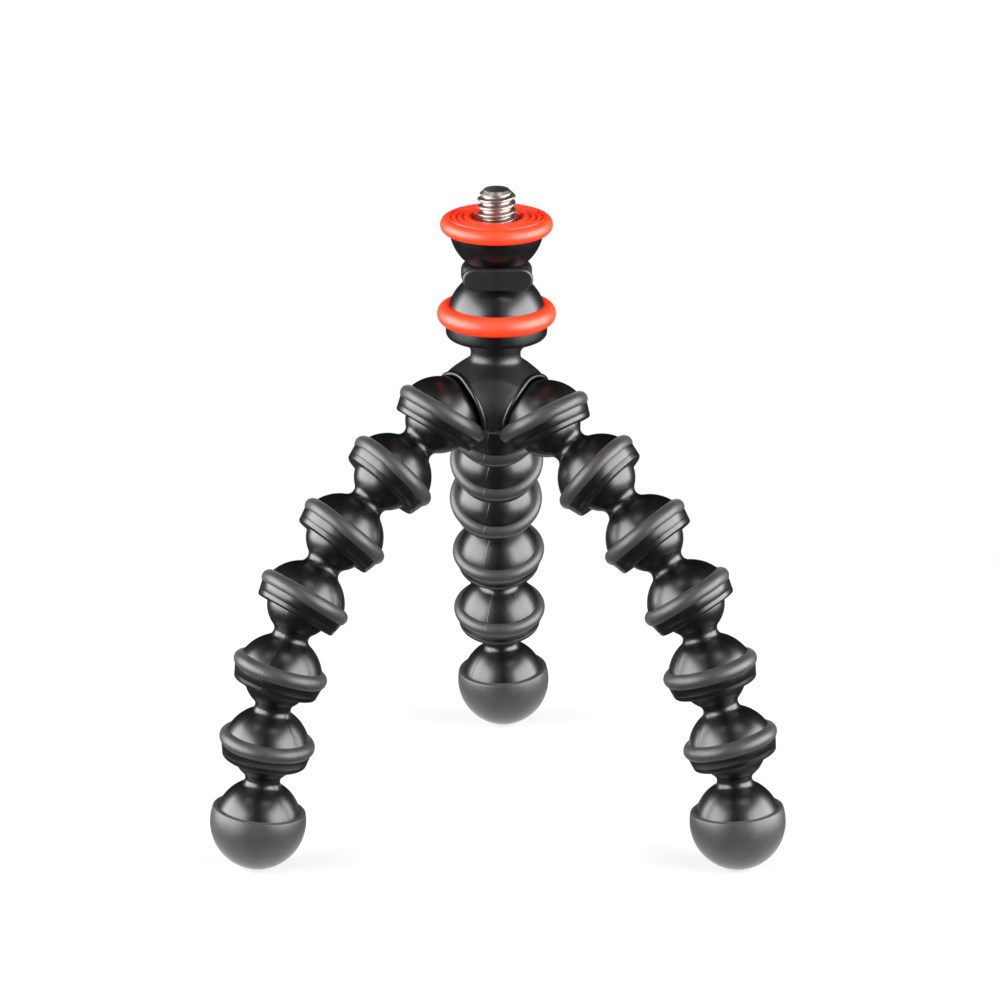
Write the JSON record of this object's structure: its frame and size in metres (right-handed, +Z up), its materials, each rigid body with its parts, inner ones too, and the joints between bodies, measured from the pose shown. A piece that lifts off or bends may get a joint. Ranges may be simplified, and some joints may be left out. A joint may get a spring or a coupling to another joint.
{
  "type": "flexible leg tripod",
  "caption": "Flexible mini tripod: ball-and-socket link legs with rubber grip rings and feet under a ball head with a rubber seat and camera screw.",
  "frame": {"origin": "middle of the camera seat's top face, on the axis of the camera screw", "axes": "+Z up along the camera screw; -Y is the front with the tag; legs a and b stand front left and front right, leg c at the back"},
  "size_m": [0.0976, 0.0857, 0.1129],
  "materials": {
    "screw_steel": "turned stainless, satin",
    "red_rubber": "smooth soft rubber",
    "gloss_shell": "polished black moulding",
    "tag_plastic": "matt black moulding",
    "link_shell": "polished black moulding",
    "grip_rubber": "matt grey rubber",
    "foot_core": "polished black moulding",
    "foot_rubber": "matt dark rubber"
  },
  "bodies": {
    "head": {"camera_screw": "screw_steel", "seat_pad": "red_rubber", "head_body": "gloss_shell", "tag_band": "tag_plastic"},
    "head_swivel": {"head_ring": "red_rubber"},
    "hub": {"hub": "gloss_shell", "socket_a": "gloss_shell", "socket_b": "gloss_shell", "socket_c": "gloss_shell"},
    "a_swivel_1": {"ring_1_a": "grip_rubber"},
    "a_link_2": {"link_2_a": "link_shell"},
    "a_swivel_2": {"ring_2_a": "grip_rubber"},
    "a_link_3": {"link_3_a": "link_shell"},
    "a_swivel_3": {"ring_3_a": "grip_rubber"},
    "a_link_4": {"link_4_a": "link_shell"},
    "a_swivel_4": {"ring_4_a": "grip_rubber"},
    "a_link_5": {"link_5_a": "link_shell"},
    "a_swivel_5": {"ring_5_a": "grip_rubber"},
    "a_link_6": {"link_6_a": "link_shell"},
    "a_swivel_6": {"ring_6_a": "grip_rubber"},
    "a_foot": {"foot_core_a": "foot_core", "foot_boot_a": "foot_rubber"},
    "b_swivel_1": {"ring_1_b": "grip_rubber"},
    "b_link_2": {"link_2_b": "link_shell"},
    "b_swivel_2": {"ring_2_b": "grip_rubber"},
    "b_link_3": {"link_3_b": "link_shell"},
    "b_swivel_3": {"ring_3_b": "grip_rubber"},
    "b_link_4": {"link_4_b": "link_shell"},
    "b_swivel_4": {"ring_4_b": "grip_rubber"},
    "b_link_5": {"link_5_b": "link_shell"},
    "b_swivel_5": {"ring_5_b": "grip_rubber"},
    "b_link_6": {"link_6_b": "link_shell"},
    "b_swivel_6": {"ring_6_b": "grip_rubber"},
    "b_foot": {"foot_core_b": "foot_core", "foot_boot_b": "foot_rubber"},
    "c_swivel_1": {"ring_1_c": "grip_rubber"},
    "c_link_2": {"link_2_c": "link_shell"},
    "c_swivel_2": {"ring_2_c": "grip_rubber"},
    "c_link_3": {"link_3_c": "link_shell"},
    "c_swivel_3": {"ring_3_c": "grip_rubber"},
    "c_link_4": {"link_4_c": "link_shell"},
    "c_swivel_4": {"ring_4_c": "grip_rubber"},
    "c_link_5": {"link_5_c": "link_shell"},
    "c_swivel_5": {"ring_5_c": "grip_rubber"},
    "c_link_6": {"link_6_c": "link_shell"},
    "c_swivel_6": {"ring_6_c": "grip_rubber"},
    "c_foot": {"foot_core_c": "foot_core", "foot_boot_c": "foot_rubber"}
  },
  "joints": [
    {"name": "head_turn", "type": "hinge", "parent": "head", "child": "head_swivel", "pos_m": [0, 0, -0.01815], "axis": [0, 0, 1], "range_deg": [-90, 90]},
    {"name": "head_tilt", "type": "hinge", "parent": "head_swivel", "child": "hub", "pos_m": [0, 0, -0.01815], "axis": [-0.6246, 0.781, 0], "range_deg": [-21.92, 18.08]},
    {"name": "a1_turn", "type": "hinge", "parent": "hub", "child": "a_swivel_1", "pos_m": [-0.00948, -0.00556, -0.03402], "axis": [-0.4959, -0.291, -0.8181], "range_deg": [-90, 90]},
    {"name": "a1_swing", "type": "hinge", "parent": "a_swivel_1", "child": "a_link_2", "pos_m": [-0.00948, -0.00556, -0.03402], "axis": [-0.5162, 0.8565, 0.0083], "range_deg": [-43.85, 16.15]},
    {"name": "a2_turn", "type": "hinge", "parent": "a_link_2", "child": "a_swivel_2", "pos_m": [-0.01787, -0.01054, -0.04251], "axis": [0.6487, 0.3846, 0.6567], "range_deg": [-90, 90]},
    {"name": "a2_swing", "type": "hinge", "parent": "a_swivel_2", "child": "a_link_3", "pos_m": [-0.01787, -0.01054, -0.04251], "axis": [-0.5659, 0.8207, 0.0783], "range_deg": [-25.52, 34.48]},
    {"name": "a3_turn", "type": "hinge", "parent": "a_link_3", "child": "a_swivel_3", "pos_m": [-0.02572, -0.01507, -0.05173], "axis": [-0.607, -0.3505, -0.7133], "range_deg": [-90, 90]},
    {"name": "a3_swing", "type": "hinge", "parent": "a_swivel_3", "child": "a_link_4", "pos_m": [-0.02572, -0.01507, -0.05173], "axis": [-0.2502, 0.9361, -0.247], "range_deg": [-21.46, 38.54]},
    {"name": "a4_turn", "type": "hinge", "parent": "a_link_4", "child": "a_swivel_4", "pos_m": [-0.03203, -0.01949, -0.06211], "axis": [-0.4883, -0.3423, -0.8028], "range_deg": [-90, 90]},
    {"name": "a4_swing", "type": "hinge", "parent": "a_swivel_4", "child": "a_link_5", "pos_m": [-0.03203, -0.01949, -0.06211], "axis": [0.6531, -0.7534, -0.076], "range_deg": [-47.35, 12.65]},
    {"name": "a5_turn", "type": "hinge", "parent": "a_link_5", "child": "a_swivel_5", "pos_m": [-0.03582, -0.02155, -0.0743], "axis": [0.2934, 0.1593, 0.9426], "range_deg": [-90, 90]},
    {"name": "a5_swing", "type": "hinge", "parent": "a_swivel_5", "child": "a_link_6", "pos_m": [-0.03582, -0.02155, -0.0743], "axis": [-0.6821, 0.7258, 0.0896], "range_deg": [-19.7, 40.3]},
    {"name": "a6_turn", "type": "hinge", "parent": "a_link_6", "child": "a_swivel_6", "pos_m": [-0.03801, -0.02203, -0.08704], "axis": [-0.1689, -0.0371, -0.9849], "range_deg": [-90, 90]},
    {"name": "a6_swing", "type": "hinge", "parent": "a_swivel_6", "child": "a_foot", "pos_m": [-0.03801, -0.02203, -0.08704], "axis": [-0.256, -0.9633, 0.0802], "range_deg": [-32.12, 27.88]},
    {"name": "b1_turn", "type": "hinge", "parent": "hub", "child": "b_swivel_1", "pos_m": [0.00863, -0.00557, -0.03449], "axis": [-0.4521, 0.2915, 0.843], "range_deg": [-90, 90]},
    {"name": "b1_swing", "type": "hinge", "parent": "b_swivel_1", "child": "b_link_2", "pos_m": [0.00863, -0.00557, -0.03449], "axis": [0.2455, 0.9493, -0.1966], "range_deg": [-9.95, 50.05]},
    {"name": "b2_turn", "type": "hinge", "parent": "b_link_2", "child": "b_swivel_2", "pos_m": [0.01792, -0.00964, -0.04251], "axis": [0.7187, -0.3143, -0.6202], "range_deg": [-90, 90]},
    {"name": "b2_swing", "type": "hinge", "parent": "b_swivel_2", "child": "b_link_3", "pos_m": [0.01792, -0.00964, -0.04251], "axis": [0.3719, 0.9275, -0.0391], "range_deg": [-38.04, 21.96]},
    {"name": "b3_turn", "type": "hinge", "parent": "b_link_3", "child": "b_swivel_3", "pos_m": [0.02607, -0.0133, -0.05187], "axis": [0.6296, -0.2829, -0.7236], "range_deg": [-90, 90]},
    {"name": "b3_swing", "type": "hinge", "parent": "b_swivel_3", "child": "b_link_4", "pos_m": [0.02607, -0.0133, -0.05187], "axis": [-0.5348, -0.8334, -0.1394], "range_deg": [-21.96, 38.04]},
    {"name": "b4_turn", "type": "hinge", "parent": "b_link_4", "child": "b_swivel_4", "pos_m": [0.03311, -0.01606, -0.06235], "axis": [-0.5446, 0.2138, 0.811], "range_deg": [-90, 90]},
    {"name": "b4_swing", "type": "hinge", "parent": "b_swivel_4", "child": "b_link_5", "pos_m": [0.03311, -0.01606, -0.06235], "axis": [0.3366, 0.9414, -0.0221], "range_deg": [-47.72, 12.28]},
    {"name": "b5_turn", "type": "hinge", "parent": "b_link_5", "child": "b_swivel_5", "pos_m": [0.03679, -0.01767, -0.07464], "axis": [0.2849, -0.1242, -0.9505], "range_deg": [-90, 90]},
    {"name": "b5_swing", "type": "hinge", "parent": "b_swivel_5", "child": "b_link_6", "pos_m": [0.03679, -0.01767, -0.07464], "axis": [-0.4906, -0.8707, -0.0333], "range_deg": [-29, 31]},
    {"name": "b6_turn", "type": "hinge", "parent": "b_link_6", "child": "b_swivel_6", "pos_m": [0.04029, -0.01916, -0.087], "axis": [-0.2705, 0.1159, 0.9557], "range_deg": [-90, 90]},
    {"name": "b6_swing", "type": "hinge", "parent": "b_swivel_6", "child": "b_foot", "pos_m": [0.04029, -0.01916, -0.087], "axis": [0.2769, 0.9601, -0.038], "range_deg": [-40.31, 19.69]},
    {"name": "c1_turn", "type": "hinge", "parent": "hub", "child": "c_swivel_1", "pos_m": [-0.00042, 0.01012, -0.03458], "axis": [0.0219, -0.5299, 0.8478], "range_deg": [-90, 90]},
    {"name": "c1_swing", "type": "hinge", "parent": "c_swivel_1", "child": "c_link_2", "pos_m": [-0.00042, 0.01012, -0.03458], "axis": [-0.9996, -0.0273, 0.0087], "range_deg": [-13.95, 46.05]},
    {"name": "c2_turn", "type": "hinge", "parent": "c_link_2", "child": "c_swivel_2", "pos_m": [-0.00076, 0.01973, -0.04322], "axis": [0.0262, -0.7436, 0.6681], "range_deg": [-90, 90]},
    {"name": "c2_swing", "type": "hinge", "parent": "c_swivel_2", "child": "c_link_3", "pos_m": [-0.00076, 0.01973, -0.04322], "axis": [-0.9969, -0.0693, -0.0381], "range_deg": [-36.58, 23.42]},
    {"name": "c3_turn", "type": "hinge", "parent": "c_link_3", "child": "c_swivel_3", "pos_m": [-0.00099, 0.0283, -0.05291], "axis": [-0.0175, 0.6625, -0.7488], "range_deg": [-90, 90]},
    {"name": "c3_swing", "type": "hinge", "parent": "c_swivel_3", "child": "c_link_4", "pos_m": [-0.00099, 0.0283, -0.05291], "axis": [0.8317, -0.4061, -0.3787], "range_deg": [-28.2, 31.8]},
    {"name": "c4_turn", "type": "hinge", "parent": "c_link_4", "child": "c_swivel_4", "pos_m": [-0.00144, 0.0366, -0.0628], "axis": [-0.0349, 0.6424, -0.7656], "range_deg": [-90, 90]},
    {"name": "c4_swing", "type": "hinge", "parent": "c_swivel_4", "child": "c_link_5", "pos_m": [-0.00144, 0.0366, -0.0628], "axis": [0.9767, 0.1841, 0.11], "range_deg": [-13.62, 46.38]},
    {"name": "c5_turn", "type": "hinge", "parent": "c_link_5", "child": "c_swivel_5", "pos_m": [-0.0011, 0.04186, -0.07461], "axis": [-0.0262, -0.4066, 0.9132], "range_deg": [-90, 90]},
    {"name": "c5_swing", "type": "hinge", "parent": "c_swivel_5", "child": "c_link_6", "pos_m": [-0.0011, 0.04186, -0.07461], "axis": [0.9777, -0.2009, -0.0614], "range_deg": [-22.84, 37.16]},
    {"name": "c6_turn", "type": "hinge", "parent": "c_link_6", "child": "c_swivel_6", "pos_m": [-0.0011, 0.04564, -0.08698], "axis": [0, -0.2924, 0.9563], "range_deg": [-90, 90]},
    {"name": "c6_swing", "type": "hinge", "parent": "c_swivel_6", "child": "c_foot", "pos_m": [-0.0011, 0.04564, -0.08698], "axis": [0.9594, 0.2699, 0.0825], "range_deg": [-17.51, 42.49]}
  ]
}
